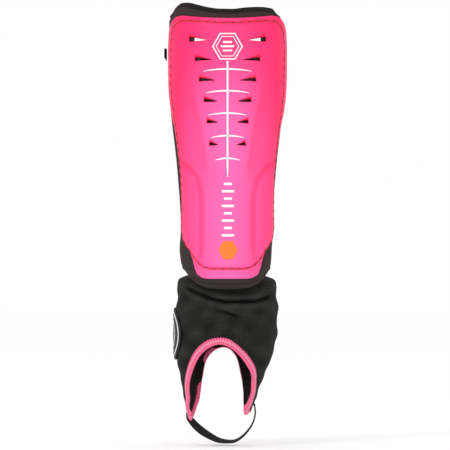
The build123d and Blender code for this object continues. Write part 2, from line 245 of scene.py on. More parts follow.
def slab(name, outer, inner, material, closed=False, run=None):
    """A closed piece between two grids of points with the same layout."""
    rows, columns = outer.shape[:2]
    count = rows * columns
    faces = grid_faces(rows, columns, 0, closed) + grid_faces(rows, columns, count, closed, flip=True)
    border = [[(0, c) for c in range(columns)], [(rows - 1, c) for c in range(columns)]]
    if not closed:
        border += [[(r, 0) for r in range(rows)], [(r, columns - 1) for r in range(rows)]]
    for edge_number, edge in enumerate(border):
        ids = [r * columns + c for r, c in edge]
        if closed:
            ids = ids + ids[:1]
        for one, two in zip(ids, ids[1:]):
            face = [one, one + count, two + count, two]
            faces.append(face if edge_number in (0, 3) else face[::-1])
    points = np.concatenate([outer.reshape(-1, 3), inner.reshape(-1, 3)])
    wraps = closed and run is None
    run = (grid_run(outer) if run is None else run).reshape(-1, 2)
    piece = add_mesh(name, points, faces, material, np.concatenate([run, run]))
    if wraps:
        wrap_run(piece, np.ptp(run[:, 0]) * columns / (columns - 1))
    tidy_normals(piece)
    return piece


def tidy_normals(piece):
    """All faces turned outward, judged by the mesh's volume."""
    mesh = piece.data
    mesh.calc_loop_triangles()
    co = np.array([v.co for v in mesh.vertices])
    tri = np.array([t.vertices for t in mesh.loop_triangles])
    a, b, c = co[tri[:, 0]], co[tri[:, 1]], co[tri[:, 2]]
    if (a * np.cross(b, c)).sum() < 0:
        mesh.flip_normals()


def sweep(name, path, across, out, profile, material, closed=False):
    """A profile, (along across, along out), carried along a path. The profile may differ at each point."""
    profile = np.broadcast_to(profile, (len(path),) + np.shape(profile)[-2:])
    rings = path[:, None] + across[:, None] * profile[..., :1] + out[:, None] * profile[..., 1:]
    count, around = rings.shape[:2]
    faces = grid_faces(count, around, 0, closed=True)
    if closed:
        last = (count - 1) * around
        faces += [[last + k, last + (k + 1) % around, (k + 1) % around, k] for k in range(around)]
    else:
        faces += [list(range(around))[::-1], [(count - 1) * around + k for k in range(around)]]
    uv = np.stack(np.meshgrid(steps_along(profile[0]), steps_along(path)), -1).reshape(-1, 2)
    piece = add_mesh(name, rings.reshape(-1, 3), faces, material, uv)
    tidy_normals(piece)
    return piece


def oval_profile(half_width, half_height, count, power=2.0):
    turn = np.linspace(0, 2 * math.pi, count, endpoint=False)
    c, s = np.cos(turn), np.sin(turn)
    return np.stack([half_width * np.sign(c) * np.abs(c) ** (2 / power),
                     half_height * np.sign(s) * np.abs(s) ** (2 / power)], -1)


def thread_runs(name, runs, radius, material):
    """Short plump threads. Each run is (start, end, outward)."""
    points, faces = [], []
    sides = 6
    rings = [(0, 0.25), (0.08, 0.8), (0.3, 1.0), (0.7, 1.0), (0.92, 0.8), (1, 0.25)]
    for start, end, outward in runs:
        along = unit(end - start)
        side = unit(np.cross(along, outward))
        up = np.cross(side, along)
        base = len(points)
        for share, size in rings:
            middle = start + (end - start) * share - outward * radius * 0.6 * abs(2 * share - 1) ** 3
            for k in range(sides):
                turn = 2 * math.pi * k / sides
                points.append(middle + (side * math.cos(turn) + up * math.sin(turn)) * radius * size)
        faces += grid_faces(len(rings), sides, base, closed=True)
        last = base + (len(rings) - 1) * sides
        faces += [[base + k for k in range(sides)][::-1], [last + k for k in range(sides)]]
    return add_mesh(name, np.array(points), faces, material, np.array(points)[:, [0, 2]])


def prism(outline, axis, low, high):
    """A closed prism for cutting: an outline (x, z) carried along Y, or (y, z) carried along X."""
    outline = np.array(outline, float)
    ends = []
    for depth in (low, high):
        place = [outline[:, 0], outline[:, 1]]
        place.insert(1 if axis == "Y" else 0, np.full(len(outline), depth))
        ends.append(np.stack(place, -1))
    count = len(outline)
    faces = [list(range(count)), list(range(2 * count - 1, count - 1, -1))]
    faces += [[k, k + count, (k + 1) % count + count, (k + 1) % count] for k in range(count)]
    cutter = add_mesh("cutter", np.concatenate(ends), faces, blank)
    tidy_normals(cutter)
    return cutter


def cut(piece, cutters):
    """Cuts prisms out of a piece, and keeps the result as its mesh."""
    for cutter in cutters:
        modifier = piece.modifiers.new("cut", "BOOLEAN")
        modifier.object = cutter
        modifier.operation = "DIFFERENCE"
        modifier.solver = "EXACT"
    apply_modifiers(piece)
    for cutter in cutters:
        bpy.data.objects.remove(cutter)


def apply_modifiers(piece):
    view = bpy.context.evaluated_depsgraph_get()
    view.update()
    made = bpy.data.meshes.new_from_object(piece.evaluated_get(view))
    piece.modifiers.clear()
    piece.data = made


def swell(piece, held, cap_mm):
    """Lets a padded piece puff out, with its held points fixed and no point moving past a cap."""
    rest = np.array([v.co for v in piece.data.vertices])
    group = piece.vertex_groups.new(name="held")
    group.add(np.flatnonzero(held).tolist(), 1.0, "REPLACE")
    cloth = piece.modifiers.new("swell", "CLOTH")
    settings = cloth.settings
    settings.quality = 6
    settings.mass = 0.3
    settings.tension_stiffness = settings.compression_stiffness = 0.5
    settings.bending_stiffness = 0.01
    settings.use_pressure = True
    settings.uniform_pressure_force = SWELL_PRESSURE
    settings.effector_weights.gravity = 0
    settings.vertex_group_mass = "held"
    cloth.point_cache.frame_start, cloth.point_cache.frame_end = 1, SWELL_FRAMES
    for number in range(1, SWELL_FRAMES + 1):
        scene.frame_set(number)
    view = bpy.context.evaluated_depsgraph_get()
    puffed = np.array([v.co for v in piece.evaluated_get(view).data.vertices])
    moved = np.nan_to_num(puffed - rest)
    size = np.linalg.norm(moved, axis=1, keepdims=True)
    share = np.minimum(1, cap_mm * MM / np.maximum(size, 1e-9))
    piece.data.vertices.foreach_set("co", (rest + moved * share).ravel())
    piece.modifiers.remove(cloth)
    piece.vertex_groups.remove(group)
    scene.frame_set(1)


def subdivide(piece):
    modifier = piece.modifiers.new("smooth", "SUBSURF")
    modifier.levels = modifier.render_levels = 1
    apply_modifiers(piece)


def place_mm(piece):
    return np.array([v.co for v in piece.data.vertices]) / MM


def mark(piece, name, values):
    """Stores a value for each point, for a material or a later step to read."""
    piece.data.attributes.new(name, "FLOAT", "POINT").data.foreach_set("value", values)


# ---- materials ----------------------------------------------------------------------
class Look:
    """A procedural material, built up a node at a time."""

    def __init__(self, name, color, roughness, sheen=0.0, specular=0.5):
        self.material = bpy.data.materials.new(name)
        self.material.use_nodes = True
        self.tree = self.material.node_tree
        self.shader = self.tree.nodes["Principled BSDF"]
        self.feed(self.shader, {
            "Base Color": (*color, 1), "Roughness": roughness, "Sheen Weight": sheen,
            "Sheen Roughness": 0.5, "Specular IOR Level": specular,
        })
        self.normal = None
        self.place = self.node("ShaderNodeTexCoord")

    def feed(self, node, sockets):
        """Fills a node's inputs, with fixed values or with other nodes' outputs."""
        for key, value in sockets.items():
            if isinstance(value, bpy.types.NodeSocket):
                self.tree.links.new(value, node.inputs[key])
            else:
                node.inputs[key].default_value = value

    def node(self, kind, sockets=None, **settings):
        made = self.tree.nodes.new(kind)
        for key, value in settings.items():
            setattr(made, key, value)
        self.feed(made, sockets or {})
        return made

    def math(self, operation, first, second=0.5, clamp=False):
        return self.node("ShaderNodeMath", {0: first, 1: second}, operation=operation, use_clamp=clamp).outputs[0]

    def axis(self, which, name):
        """One coordinate: Object ones are in metres, and UV ones are millimetres along the piece."""
        return self.node("ShaderNodeSeparateXYZ", {0: self.place.outputs[which]}).outputs[name]

    def stored(self, name):
        """A value stored for each point of the mesh."""
        return self.node("ShaderNodeAttribute", attribute_name=name).outputs["Fac"]

    def noise(self, scale, detail=3.0):
        """Noise over the piece; scale is in lumps per millimetre."""
        sockets = {"Scale": scale * 1000, "Detail": detail, "Vector": self.place.outputs["Object"]}
        return self.node("ShaderNodeTexNoise", sockets).outputs["Fac"]

    def times(self, first, second, clamp=False):
        return self.math("MULTIPLY", first, second, clamp)

    def plus(self, first, second, clamp=False):
        return self.math("ADD", first, second, clamp)

    def less(self, first, second):
        return self.math("SUBTRACT", first, second)

    def ripple(self, value, period):
        """0 to 1 and back over each period."""
        turned = self.times(value, 2 * math.pi / period)
        return self.plus(self.times(self.math("SINE", turned), 0.5), 0.5)

    def weave(self, pitch_u, pitch_v, share=None):
        """Ripples across and along a piece: multiplied, or added with a share for the first."""
        across = self.ripple(self.axis("UV", "X"), pitch_u)
        along = self.ripple(self.axis("UV", "Y"), pitch_v)
        if share is None:
            return self.times(across, along)
        return self.plus(self.times(across, share), self.times(along, 1 - share))

    def mix(self, factor, first, second):
        """A colour between two goes to the shader, by a factor from 0 to 1."""
        sockets = {"Factor": factor, "A": first, "B": second}
        mixed = self.node("ShaderNodeMix", sockets, data_type="RGBA").outputs["Result"]
        self.feed(self.shader, {"Base Color": mixed})
        return mixed

    def tint(self, factor, dark, light):
        return self.mix(factor, (*dark, 1), (*light, 1))

    def bump(self, height, distance_mm, strength=1.0):
        sockets = {"Distance": distance_mm * MM, "Strength": strength, "Height": height}
        if self.normal:
            sockets["Normal"] = self.normal
        self.normal = self.node("ShaderNodeBump", sockets).outputs["Normal"]
        self.feed(self.shader, {"Normal": self.normal})

    def rough(self, factor, low, high):
        spread = self.node("ShaderNodeMapRange", {"Value": factor, "To Min": low, "To Max": high})
        self.feed(self.shader, {"Roughness": spread.outputs["Result"]})


def scaled(color, share):
    return tuple(c * share for c in color)


def plastic_look():
    """Hot pink moulded plastic with a fine grain, with a painted highlight that is palest in its middle and fades
    towards its sides and its top, and painted shade in its recesses.
    """
    # how far out and how high up the painted highlight fades
    side_reach, redder_from, redder_to = 0.051, 0.150, 0.245
    look = Look("shell_plastic", (0.97, 0.09, 0.29), 0.4, specular=0.15)
    sideways = look.math("ABSOLUTE", look.axis("Object", "X"))
    wide = look.math("POWER", look.times(sideways, 1 / side_reach, clamp=True), 1.7)
    sockets = {"Value": look.axis("Object", "Z"), "From Min": redder_from, "From Max": redder_to, "To Max": 0.72}
    upward = look.node("ShaderNodeMapRange", sockets, interpolation_type="SMOOTHSTEP").outputs[0]
    cloud = look.times(look.noise(0.02), 0.12)
    # painted highlight: the middle of the shell paler, fading out towards its sides and its top
    painted_highlight = look.times(look.less(1.0, wide), look.less(1.0, upward))
    factor = look.plus(look.less(1.0, painted_highlight), look.less(cloud, 0.06), clamp=True)
    base = look.tint(factor, (0.96, 0.135, 0.42), (0.98, 0.016, 0.125))
    # painted shade: the plastic deepens to crimson where the stored recess shade is marked
    look.mix(look.stored("recess_shade"), base, (0.74, 0.0, 0.028, 1))
    look.rough(look.noise(0.5), 0.3, 0.42)
    look.bump(look.noise(3.0, 2), 0.02, 0.35)
    return look.material


def knit_look(name, color, pitch_u, pitch_v, depth):
    """A fine rib knit: ribs crossed by rows of loops, with painted shade in its creases and a painted highlight
    on their ridges.
    """
    look = Look(name, color, 0.92, sheen=0.02, specular=0.08)
    waver = look.times(look.noise(0.22, 3), 5.0)
    rib = look.ripple(look.plus(look.axis("UV", "X"), waver), pitch_u)
    loops = look.ripple(look.plus(look.axis("UV", "Y"), waver), pitch_v)
    weave = look.times(loops, look.plus(look.times(rib, 0.6), 0.4))
    fuzz = look.noise(1.6, 4)
    cloud = look.times(look.noise(0.13, 3), 0.3)
    yarn = look.plus(look.times(weave, 0.42), look.times(fuzz, 0.5))
    factor = look.plus(yarn, look.less(cloud, 0.1), clamp=True)
    base = look.tint(factor, scaled(color, 0.3), scaled(color, 2.2))
    # painted shade and highlight: the colour darkens in the folds and brightens on their ridges, by the stored
    # crease value
    shade = look.plus(look.times(look.stored("crease"), 0.85), 1.0)
    shaded = look.node("ShaderNodeVectorMath", {0: base, "Scale": shade}, operation="SCALE").outputs[0]
    look.feed(look.shader, {"Base Color": shaded})
    look.bump(weave, depth)
    look.bump(fuzz, depth * 0.4, 0.5)
    return look.material


def foam_look(name, color):
    """Closed-cell foam under a thin brushed knit."""
    look = Look(name, color, 0.9, sheen=0.03, specular=0.08)
    cells, mesh = look.noise(0.9, 4), look.weave(0.9, 0.9)
    factor = look.plus(look.times(cells, 0.8), look.times(mesh, 0.3), clamp=True)
    look.tint(factor, scaled(color, 0.55), scaled(color, 1.45))
    look.bump(mesh, 0.12)
    look.bump(cells, 0.15, 0.6)
    return look.material


def webbing_look(name, color):
    """Woven elastic: cords along it, crossed by a tight weft."""
    look = Look(name, color, 0.8, sheen=0.02, specular=0.12)
    weave = look.weave(1.3, 0.7, 0.6)
    look.tint(weave, scaled(color, 0.5), scaled(color, 1.9))
    look.bump(weave, 0.18)
    return look.material


def thread_look(name, color):
    look = Look(name, color, 0.6, sheen=0.2, specular=0.4)
    twist = look.ripple(look.plus(look.axis("UV", "X"), look.axis("UV", "Y")), 0.5)
    look.tint(twist, scaled(color, 0.6), color)
    look.bump(twist, 0.1)
    return look.material


def binding_look():
    """Folded pink elastic, ribbed across."""
    look = Look("pink_binding", (0.86, 0.105, 0.27), 0.75, sheen=0.1, specular=0.2)
    weave = look.weave(0.8, RIB_PITCH, 0.3)
    look.tint(weave, (0.76, 0.035, 0.14), (1.0, 0.21, 0.39))
    look.bump(weave, 0.3)
    look.bump(look.noise(2.5), 0.08, 0.5)
    return look.material


def fuzz_look(name, color):
    """Hook-and-loop tape."""
    look = Look(name, color, 0.95, sheen=0.1, specular=0.08)
    tufts = look.noise(2.2, 5)
    look.tint(tufts, scaled(color, 0.3), scaled(color, 2.0))
    look.bump(tufts, 0.5)
    return look.material


def print_look(name, color):
    """A thin screen print, very slightly uneven; the painted shade of the seam groove is made with it too."""
    look = Look(name, color, 0.45)
    look.tint(look.noise(0.35, 5), scaled(color, 0.93), color)
    look.bump(look.noise(3.0), 0.01, 0.3)
    return look.material


def rubber_look():
    """Soft moulded rubber with a fine matt grain."""
    look = Look("tab_rubber", (0.014, 0.014, 0.014), 0.55, specular=0.2)
    grain = look.noise(4.0)
    look.rough(grain, 0.45, 0.7)
    look.bump(grain, 0.04, 0.5)
    return look.material


def disc_look():
    """Smooth coated fabric over the ankle disc."""
    look = Look("disc_fabric", (0.02, 0.02, 0.021), 0.5, specular=0.2)
    fine = look.weave(0.6, 0.6)
    look.tint(fine, (0.010, 0.010, 0.010), (0.034, 0.034, 0.036))
    look.bump(fine, 0.05)
    return look.material


def floor_look():
    look = Look("floor", (0.98, 0.98, 0.98), 0.9, specular=0.0)
    look.tint(look.noise(0.002), (0.975, 0.975, 0.975), (0.99, 0.99, 0.99))
    return look.material


blank = bpy.data.materials.new("blank")
PLASTIC = plastic_look()
FOAM = foam_look("liner_foam", (0.040, 0.030, 0.029))
FOAM_EDGE = foam_look("liner_edge", (0.016, 0.013, 0.013))
LINING = knit_look("lining_fabric", (0.022, 0.021, 0.021), 1.6, 1.6, 0.25)
KNIT = knit_look("sock_knit", (0.0145, 0.0145, 0.0132), 1.4, 2.1, 0.3)
WEBBING = webbing_look("strap_elastic", (0.014, 0.014, 0.015))
BINDING = binding_look()
SHELL_THREAD = thread_look("shell_thread", (0.10, 0.004, 0.012))
# painted shade: a dark crimson ribbon laid along the shell's sewing groove
SEAM_SHADE = print_look("seam_groove_shade", (0.66, 0.0, 0.028))
BLACK_THREAD = thread_look("black_thread", (0.03, 0.03, 0.032))
ZIGZAG = thread_look("zigzag_thread", (0.90, 0.62, 0.70))
TAPE = fuzz_look("hook_and_loop", (0.016, 0.016, 0.017))
WHITE = print_look("white_print", (0.90, 0.88, 0.89))
ORANGE = print_look("orange_print", (0.93, 0.20, 0.010))
RUBBER = rubber_look()
DISC = disc_look()


# ---- front shell --------------------------------------------------------------------
def seam_line(count):
    """The sewing line all round the shell, as (x, z)."""
    right = smooth_line(STITCH_SIDE, count)
    left = right[::-1] * (-1, 1)
    return np.concatenate([right[:-1], left[:-1]])


SEAM_POINTS = seam_line(260)
SEAM_3D = front_shin(SEAM_POINTS[:, 0], SEAM_POINTS[:, 1], 0)
SEAM_HALF = np.array([(z, x) for x, z in STITCH_SIDE[1:-1]])


def seam_distance(points):
    """How far each point is from the sewing line, in space."""
    flat = points.reshape(-1, 3)
    near = np.concatenate([
        np.sqrt(((block[:, None] - SEAM_3D[None]) ** 2).sum(2).min(1)) for block in np.array_split(flat, 40)
    ])
    return near.reshape(points.shape[:-1])


def inside_seam(x, z):
    half = np.interp(z, SEAM_HALF[:, 0], SEAM_HALF[:, 1])
    return (np.abs(x) < half) & (z > 10.2) & (z < 254.8 + 2.6 * np.clip(np.abs(x) / 45, 0, 1) ** 2)


def channel_line(z):
    """Half width of the two channels that run down the lower shell and turn outward at the top."""
    return np.interp(z, [0, 30, 78, 90, 98, 104, 110, 116, 121], [28, 26.2, 26, 27.6, 30, 33, 37.5, 43, 50])


def crease_line(z):
    """Half width of the raised panel that holds the louvres."""
    return np.interp(z, [92, 110, 130, 153, 180, 205], [18.5, 19, 21.5, 24.8, 31, 36])


def spine_reach(z):
    """How strongly the raised panel shows at each height."""
    return soft(z, 88, 116) * (1 - soft(z, 172, 208))


def body_relief(x, z):
    """How far the moulded ribs and channels stand out from the shell's plain curve."""
    wide, crease = np.abs(x), crease_line(z)
    high = 1.9 * spine_reach(z) * (1 - soft(wide, crease - 1.6, crease + 1.6))
    line = channel_line(z)
    slope = (channel_line(z + 1) - channel_line(z - 1)) / 2
    lean = np.sqrt(1 + slope**2)
    reach = soft(z, 6, 30) * (1 - soft(z, 112, 121))
    high = high - 2.3 * reach * bump_at(wide, line, 2.8 * lean)
    lobe = soft((wide - line) / lean, 0, 7) * soft(z, 14, 44) * (1 - soft(z, 104, 119))
    high = high + 0.9 * lobe
    centre = (1 - soft(wide, 9, 24)) * soft(z, 14, 50) * (1 - soft(z, 96, 120))
    return high + 0.8 * centre


def louvre_relief(x, z):
    """The scooped recess above each slot and the lip below it."""
    wide, high = np.abs(x), np.zeros_like(x)
    for middle, outer, inner, opening in LOUVRES:
        share = (wide - inner) / (outer - inner)
        low = middle - 1.2 + share * (1.2 - opening / 2)
        top = low + 0.7 + share * (opening + 2.9)
        along = soft(share, -0.06, 0.12) * (1 - soft(share, 1.0, 1.07))
        scoop = np.where((z > low - 0.1) & (z < top), 1 - (z - low) / (top - low), 0) ** 0.7
        high -= 1.55 * along * np.clip(share * 1.5 + 0.2, 0, 1) * scoop
        high += 0.75 * along * bump_at(z, low - 0.9, 1.0) * (z < low)
    return high


def shell_relief(x, z, points):
    away = seam_distance(points)
    within = inside_seam(x, z)
    drop = 0.9 - 0.7 * soft(np.abs(x) / column(SHIN, 1, z), 0.7, 0.9)
    flange = -drop * np.where(within, 1 - soft(away, 0.0, 3.2), 1)
    details = np.where(within, soft(away, 0.5, 5.0), 0)
    return np.maximum(flange + details * body_relief(x, z) + louvre_relief(x, z), -2.1)


def shell_half(z):
    """Half width of the shell's edge, seen from the front."""
    return column(SHELL_EDGE, 1, z) + 0.6 * soft(z, 120, 150) * (1 - soft(z, 246, 258))


def top_dip(x, z):
    """The shell's upper edge sinks a little between its corners."""
    return 3.4 * (1 - np.clip(np.abs(x) / 46, 0, 1) ** 2) * soft(z, 215, SHELL_TOP)


def louvre_cutters(rows, shrink):
    cutters = []
    for middle, outer, inner, opening in rows:
        for side in (-1, 1):
            end, half = outer - shrink, opening / 2 - shrink * 0.1
            outline = [
                (side * end, middle - half), (side * inner, middle - 1.25), (side * inner, middle - 0.55),
                (side * (end - 0.6), middle + half), (side * end, middle + half - 0.6),
            ]
            cutters.append(prism(outline, "Y", CUT_FRONT, CUT_REAR))
    return cutters


def mark_recess_shade(piece):
    """Marks painted shade in the louvre scoops, the channels, a band beside the raised panel's crease and the
    sewing line, where the plastic's colour deepens.
    """
    place = place_mm(piece)
    x, z = place[:, 0], place[:, 2]
    scoop = np.clip(-louvre_relief(x, z) / 0.9, 0, 1)
    channel = np.clip(-body_relief(x, z) / 2.0, 0, 1) * 0.3 * inside_seam(x, z)
    wide, crease = np.abs(x), crease_line(z)
    # a band of painted shade just outside the raised panel's crease
    beside = soft(wide, crease - 1, crease + 2) * (1 - soft(wide, crease + 2, crease + 16))
    away = seam_distance(place)
    sewn = 0.75 * bump_at(away, 0, 1.0) + 0.25 * bump_at(away, 0, 2.6)
    mark(piece, "recess_shade", np.clip(scoop + channel + 0.2 * spine_reach(z) * beside + sewn, 0, 1))


def make_shell():
    low = [0, 0.3, 0.7, 1.3, 2.2, 3.4, 5, 7, 9]
    middle = [np.arange(11, 122, 1.9), np.arange(122.6, 246, 0.85), np.arange(247, 257.5, 1.4)]
    high = [258, 259.2, 260.2, 261, 261.7, 262.2, SHELL_TOP]
    z = np.concatenate([low, *middle, high])[:, None]
    share = np.linspace(-1, 1, 151)[None]
    x = share * shell_half(z)
    level = z - top_dip(x, z)
    relief = shell_relief(x, level, front_shin(x, level, 0))
    rim = np.minimum(1 - np.abs(share) + 0 * level, np.minimum(level, SHELL_TOP - z) / 40)
    relief -= 0.7 * (1 - np.clip(rim / 0.012, 0, 1)) ** 2
    piece = slab("shell", front_shin(x, level, -relief), front_shin(x, level, SHELL_THICK), PLASTIC)
    cut(piece, louvre_cutters(LOUVRES, 0))
    mark_recess_shade(piece)
    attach(piece, "guard")
    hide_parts("front_shell")


def make_shell_seam():
    """A dark ribbon of painted shade along the sewing groove, and the threads lying in it."""
    x, z = SEAM_POINTS.T
    middle = front_shin(x, z, -shell_relief(x, z, SEAM_3D) - 0.1)
    ahead = unit(np.roll(middle, -1, 0) - np.roll(middle, 1, 0))
    out = unit(middle * (1, 1, 0))
    across = np.cross(ahead, out)
    groove = sweep("seam_groove_shade", middle, across, out, oval_profile(0.75, 0.26, 8), SEAM_SHADE, closed=True)
    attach(groove, "guard")
    runs = []
    for number in range(STITCHES):
        start, end = (int((number + part) / STITCHES * len(middle)) % len(middle) for part in (0.22, 0.78))
        runs.append((middle[start] + out[start] * 0.2, middle[end] + out[end] * 0.2, out[start]))
    threads = thread_runs("seam_threads", runs, 0.4, SHELL_THREAD)
    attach(threads, "guard")
    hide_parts("shell_stitches")


def decal(name, x, z, material=None):
    """A thin print on the shell, white unless told otherwise, from grids of x and z."""
    relief = body_relief(x, z) * soft(seam_distance(front_shin(x, z, 0)), 0.5, 5) + louvre_relief(x, z)
    outer, inner = front_shin(x, z, -relief - 0.14), front_shin(x, z, -relief + 0.05)
    piece = slab("print_" + name, outer, inner, material or WHITE)
    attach(piece, "guard")


def hexagon(radius, turn):
    """The reach of a plain hexagon at each angle, as a share of the circle round it."""
    return radius * math.cos(math.pi / 6) / np.cos((turn + math.pi / 6) % (math.pi / 3) - math.pi / 6)


def make_prints():
    """Plain ornaments: hexagons, a ladder of arcs on a spine line, and a column of bars."""
    z, x = pairs(np.linspace(101, 216.5, 90), [-0.9, -0.3, 0.3, 0.9])
    decal("spine", x * np.clip((z - 98) / 12, 0.35, 1), z)
    arcs = [(208.4, 24), (186.8, 21), (164.6, 18.5), (142.2, 15.7), (119.8, 12)]
    for number, (height, reach) in enumerate(arcs, 1):
        x, t = pairs(np.linspace(-reach, reach, 50), [-1, 0, 1])
        thin = 0.25 + 0.65 * (1 - (x / reach) ** 2)
        decal(f"arc_{number}", x, height - 1.9 * (x / reach) ** 2 + thin * t)
    around = np.linspace(0, 2 * math.pi, 97)
    for number, (radius, half) in enumerate(((14.6, 0.75), (11.2, 0.45)), 1):
        turn, r = pairs(around, radius + half * np.array([-1, 0, 1]))
        decal(f"hexagon_{number}", hexagon(r, turn) * np.sin(turn), 231 + hexagon(r, turn) * np.cos(turn))
    for number, (height, reach) in enumerate(((235.2, 4.6), (231, 6.6), (226.8, 4.6)), 1):
        x, z = pairs(np.linspace(-reach, reach, 16), height + np.array([-0.95, 0, 0.95]))
        decal(f"stroke_{number}", x, z)
    for number in range(8):
        low = 42 + number * 7.3
        reach = 3.9 if number % 2 else 6.0
        x, z = pairs(np.linspace(-reach, reach, 14) + 0.4, np.linspace(low, low + 2.5, 4))
        decal(f"bar_{number + 1}", x, z)
    turn, r = pairs(around, np.linspace(0.01, 1, 8))
    reach = hexagon(9.6, turn) * r
    decal("orange", 0.6 + reach * np.sin(turn), 28.5 + 1.1 * reach * np.cos(turn), ORANGE)


# ---- foam liner and lining ----------------------------------------------------------
def liner_edges(count, reach_mm):
    """Shares from 0 to 1 with extra rows near both ends, for a rounded edge."""
    near = np.array([0, 0.2, 0.7, 1.5, 2.6, 3.6, 4.4, 5.2, 6.4]) / reach_mm
    return np.concatenate([near, np.linspace(near[-1], 1 - near[-1], count)[1:-1], 1 - near[::-1]])


def liner_top(x):
    return np.interp(x, [-70, -58, -56.5, -51, -42.5, -32.5, -22.5, -12.5, 7.5, 17.5, 31.5, 45.5, 52, 55, 70],
                     [262, 268, 271.8, 276, 275.7, 272.9, 270.5, 268.9, 268.5, 270, 271, 271.3, 270.4,
                      266, 258])


def liner_bottom(x):
    return np.interp(np.abs(x), [0, 12, 24, 33, 38, 42, 46, 50, 70],
                     [-10.6, -10.3, -9.4, -6.4, -3.2, 0.6, 5, 9.6, 34])


def liner_back(z):
    return np.interp(z, [-30, 60, 140, 195, 205, 250, 290], [-10.5, -7, 3, 12.6, 13.5, 13.5, 4])


def make_liner(name, depth, thick, inset, round_mm, material, relief):
    """A layer that lines the shell, with rounded edges, and wings that reach round the calf."""
    s = (liner_edges(46, 190) * 2 - 1)[None]
    t = liner_edges(76, 285)[:, None]
    level = -9 + t * 282 + 0 * s
    for _ in range(4):
        half_depth = column(SHIN, 2, level) - depth - thick / 2
        limit = np.arccos(np.clip(-(liner_back(level) - inset) / half_depth, -1, 1))
        x = column(SHIN, 1, level) * np.sin(s * limit)
        low, high = liner_bottom(x) + inset, liner_top(x) - inset
        level = low + t * (high - low)
    side = (1 - np.abs(s)) * limit * 52
    end = np.minimum(t, 1 - t) * (high - low)
    near = np.minimum(side, end)
    half = thick / 2 * np.maximum(rounded(side, round_mm) * rounded(end, round_mm), 0.04)
    middle = depth + thick / 2
    outer = round_shin(s * limit, level, middle - half - relief(x, level, near))
    piece = slab(name, outer, round_shin(s * limit, level, middle + half), material)
    mark(piece, "near_edge", np.tile(near.ravel(), 2))
    return piece


def sew_edge(piece, into_mm, width_mm, depth_mm):
    """Presses a sewn line into a liner, a little way in from its edge, on both of its faces."""
    mesh = piece.data
    near, normal = np.zeros(len(mesh.vertices)), np.zeros(len(mesh.vertices) * 3)
    mesh.attributes["near_edge"].data.foreach_get("value", near)
    mesh.vertex_normals.foreach_get("vector", normal)
    fall = 0.2 * depth_mm * (near > 1) * (1 - soft(near, 1, into_mm))
    press = depth_mm * bump_at(near, into_mm, width_mm) + fall
    moved = place_mm(piece) - normal.reshape(-1, 3) * press[:, None]
    mesh.vertices.foreach_set("co", (moved * MM).ravel())


def foam_relief(x, z, _near):
    """A bulge at the foam's lower left, and hollows under the strap and on the right."""
    bulge = 2.6 * soft(-x, 30, 44) * bump_at(z, 28, 17)
    right = soft(x, 30, 46) * (1.5 * soft(z, 45, 70) * (1 - soft(z, 190, 215)) + 3.4 * soft(z, 240, 258))
    lower = 1.2 * soft(x, 28, 42) * (1 - soft(z, 30, 55))
    strap = 0.9 * soft(np.abs(x), 50, 56) * soft(z, 198, 204) * (1 - soft(z, 230, 236))
    return bulge - right - lower - strap


def quilt_relief(x, z, near):
    """Shallow dimples all over the lining."""
    return -0.45 * np.clip(np.cos(x * 0.62) * np.cos(z * 0.5), 0, 1) * soft(near, 3, 7)


def make_foam():
    foam = make_liner("foam_pad", 2.7, 8.0, 0, 3.6, FOAM, foam_relief)
    x, y, z = place_mm(foam).T
    under = (np.abs(x) < shell_half(np.clip(z, 0, SHELL_TOP)) - 2.5) & (z > 6) & (z < 257)
    inside = np.hypot(x / (column(SHIN, 1, z) - 7.5), y / (column(SHIN, 2, z) - 7.5)) < 1
    strapped = (z > 199) & (z < 235) & (y > -14)
    swell(foam, under | inside | strapped, 1.6)
    subdivide(foam)
    sew_edge(foam, 4.8, 0.9, 1.3)
    cut(foam, louvre_cutters(LOUVRES[:2], 5.0))
    foam.data.materials.append(FOAM_EDGE)
    for face in foam.data.polygons:
        if face.center.z / MM > liner_top(face.center.x / MM) - 4.2:
            face.material_index = len(foam.data.materials) - 1
    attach(foam, "guard")
    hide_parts("foam_liner")
    lining = make_liner("lining", 10.8, 1.0, 3.0, 0.6, LINING, quilt_relief)
    subdivide(lining)
    cut(lining, louvre_cutters(LOUVRES[:2], 4.0))
    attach(lining, "guard")
    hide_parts("inner_lining")


# ---- calf strap ---------------------------------------------------------------------
STRAP_A, STRAP_B, STRAP_SHIFT = 60.3, 58.2, -0.4
STRAP_OUT, STRAP_IN = 0.775, 1.875
STRAP_LOW, STRAP_HIGH = 203.0, 231.0


def strap_ring(angle, z, depth, shift=STRAP_SHIFT):
    a, b = STRAP_A - depth, STRAP_B - depth
    return np.stack([shift + a * np.sin(angle), -b * np.cos(angle), z + 0 * angle], -1)


def angle_at(y, side):
    """The angle where the strap crosses a depth y, on the left (-1) or the right (1)."""
    turn = math.acos(-y / (STRAP_B - 1.3))
    return turn if side > 0 else 2 * math.pi - turn


def strap_piece(name, first, last, columns):
    angle = np.linspace(first, last, columns)[None]
    up = [0, 0.25, 0.8, 1.6, 4, 8, 12, 14, 16, 20, 24, 26.4, 27.2, 27.75, 28]
    z = np.array(up)[:, None] + STRAP_LOW
    half = 0.55 * rounded(np.minimum(z - STRAP_LOW, STRAP_HIGH - z), 0.8, 0.02) + 0 * angle
    middle = (STRAP_OUT + STRAP_IN) / 2
    sag = 0.35 * np.sin(angle * 3.0) * np.sin((z - STRAP_LOW) / 28 * math.pi)
    sag = sag * soft(-np.cos(angle), 0.35, 0.6)
    outer, inner = (strap_ring(angle, z, middle + face * half - sag) for face in (-1, 1))
    piece = slab(name, outer, inner, WEBBING)
    return piece


